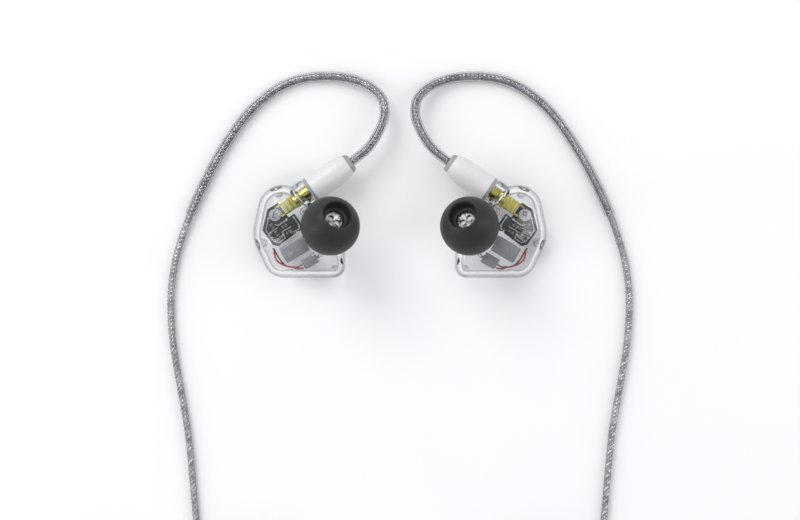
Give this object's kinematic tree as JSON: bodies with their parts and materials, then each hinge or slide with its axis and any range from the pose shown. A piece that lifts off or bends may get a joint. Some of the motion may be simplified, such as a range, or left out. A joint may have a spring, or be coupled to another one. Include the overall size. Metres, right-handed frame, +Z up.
{
  "type": "in ear monitors",
  "caption": "Pair of clear in-ear monitors with soft ear tips on a detachable braided cable with ear hooks, chin slider, Y-split and a stereo plug.",
  "frame": {"origin": "midway between the two earpieces, on the surface that their flat outer faces rest on", "axes": "+X from the left earpiece to the right one, +Y towards the tops of the ear hooks, +Z up out of the surface, towards the ear tips"},
  "size_m": [0.1028, 0.2066, 0.0219],
  "materials": {
    "clear_shell": "polished clear polycarbonate",
    "circuit_board": "black solder mask",
    "side_label": "printed grey disc",
    "board_components": "ceramic chips",
    "gold_socket": "gold plated",
    "gold_plug": "gold plated",
    "gold_contact": "gold plated",
    "white_insulator": "moulded",
    "black_insulator": "moulded",
    "driver_can": "satin nickel plated",
    "sound_tube": "clear silicone",
    "damper": "fine mesh",
    "red_wire": "enamelled",
    "brown_wire": "enamelled",
    "ear_tip": "matte silicone",
    "grey_moulding": "satin moulded",
    "grey_rubber": "matte",
    "spring_steel": "bright",
    "clear_sleeve": "clear heat-shrink",
    "cable_jacket": "clear jacket over braided silver wire",
    "black_tie": "hook-and-loop"
  },
  "bodies": {
    "cable_set": {"left_connector_hood": "grey_moulding", "left_plug_shell": "gold_plug", "left_plug_insulator": "white_insulator", "left_plug_pin": "gold_contact", "left_ear_hook_sleeve": "clear_sleeve", "left_branch_cable": "cable_jacket", "left_branch_coil": "cable_jacket", "right_connector_hood": "grey_moulding", "right_plug_shell": "gold_plug", "right_plug_insulator": "white_insulator", "right_plug_pin": "gold_contact", "right_ear_hook_sleeve": "clear_sleeve", "right_branch_cable": "cable_jacket", "right_branch_coil": "cable_jacket", "y_split": "grey_moulding", "trunk_cable": "cable_jacket", "trunk_coil": "cable_jacket", "cable_ties": "black_tie", "jack_relief": "grey_rubber", "jack_handle": "grey_moulding", "jack_sleeve": "gold_plug", "jack_ring": "gold_plug", "jack_tip": "gold_plug", "jack_insulators": "black_insulator"},
    "left_snap_ring": {"left_snap_ring": "spring_steel"},
    "left_earpiece": {"left_shell_back": "clear_shell", "left_shell_front": "clear_shell", "left_circuit_board": "circuit_board", "left_side_label": "side_label", "left_board_components": "board_components", "left_cable_socket": "gold_socket", "left_socket_insulator": "white_insulator", "left_socket_contact": "gold_contact", "left_large_driver": "driver_can", "left_small_driver": "driver_can", "left_sound_tubes": "sound_tube", "left_sound_dampers": "damper", "left_red_wire": "red_wire", "left_brown_wire": "brown_wire"},
    "left_tip": {"left_ear_tip": "ear_tip"},
    "right_snap_ring": {"right_snap_ring": "spring_steel"},
    "right_earpiece": {"right_shell_back": "clear_shell", "right_shell_front": "clear_shell", "right_circuit_board": "circuit_board", "right_side_label": "side_label", "right_board_components": "board_components", "right_cable_socket": "gold_socket", "right_socket_insulator": "white_insulator", "right_socket_contact": "gold_contact", "right_large_driver": "driver_can", "right_small_driver": "driver_can", "right_sound_tubes": "sound_tube", "right_sound_dampers": "damper", "right_red_wire": "red_wire", "right_brown_wire": "brown_wire"},
    "right_tip": {"right_ear_tip": "ear_tip"},
    "slider": {"chin_slider": "grey_moulding"}
  },
  "joints": [
    {"name": "left_swivel", "type": "hinge", "parent": "cable_set", "child": "left_snap_ring", "pos_m": [-0.0258, 0.00465, 0.0055], "axis": [-0.8192, -0.5736, 0], "continuous": true},
    {"name": "left_unplug", "type": "slide", "parent": "left_snap_ring", "child": "left_earpiece", "axis": [-0.8192, -0.5736, 0], "range_m": [0, 0.005]},
    {"name": "left_tip_pull", "type": "slide", "parent": "left_earpiece", "child": "left_tip", "axis": [0.3039, 0.4341, 0.848], "range_m": [0, 0.007]},
    {"name": "right_swivel", "type": "hinge", "parent": "cable_set", "child": "right_snap_ring", "pos_m": [0.0258, 0.00465, 0.0055], "axis": [0.8192, -0.5736, 0], "continuous": true},
    {"name": "right_unplug", "type": "slide", "parent": "right_snap_ring", "child": "right_earpiece", "axis": [0.8192, -0.5736, 0], "range_m": [0, 0.005]},
    {"name": "right_tip_pull", "type": "slide", "parent": "right_earpiece", "child": "right_tip", "axis": [-0.3039, 0.4341, 0.848], "range_m": [0, 0.007]},
    {"name": "slider_travel", "type": "slide", "parent": "cable_set", "child": "slider", "axis": [0, 1, 0], "range_m": [0, 0.008]}
  ]
}
